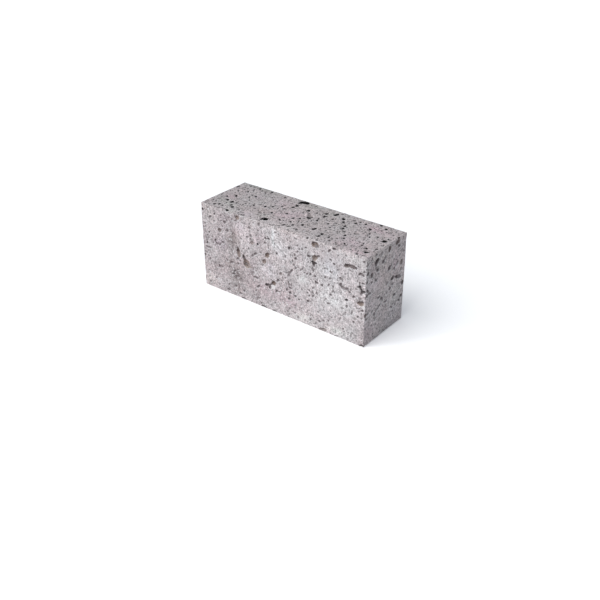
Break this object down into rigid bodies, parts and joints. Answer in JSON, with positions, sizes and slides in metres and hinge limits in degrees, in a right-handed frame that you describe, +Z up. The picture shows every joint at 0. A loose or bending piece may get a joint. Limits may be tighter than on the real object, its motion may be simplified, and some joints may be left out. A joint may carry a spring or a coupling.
{
  "type": "concrete paving brick",
  "caption": "Solid rectangular concrete paving brick with worn arrises and open blow holes in its faces, laid on its narrow long face to pave paths and yards.",
  "frame": {"origin": "centre of the bedding face, which is the underside that the brick stands on", "axes": "+X along the length, +Y across the width from the front face to the back, +Z up from the bedding face to the wearing face"},
  "size_m": [0.21, 0.07, 0.098],
  "materials": {
    "concrete": "matt, sandy and open-pored, pale pinkish grey"
  },
  "bodies": {
    "root": {"paving_brick": "concrete"}
  },
  "joints": []
}
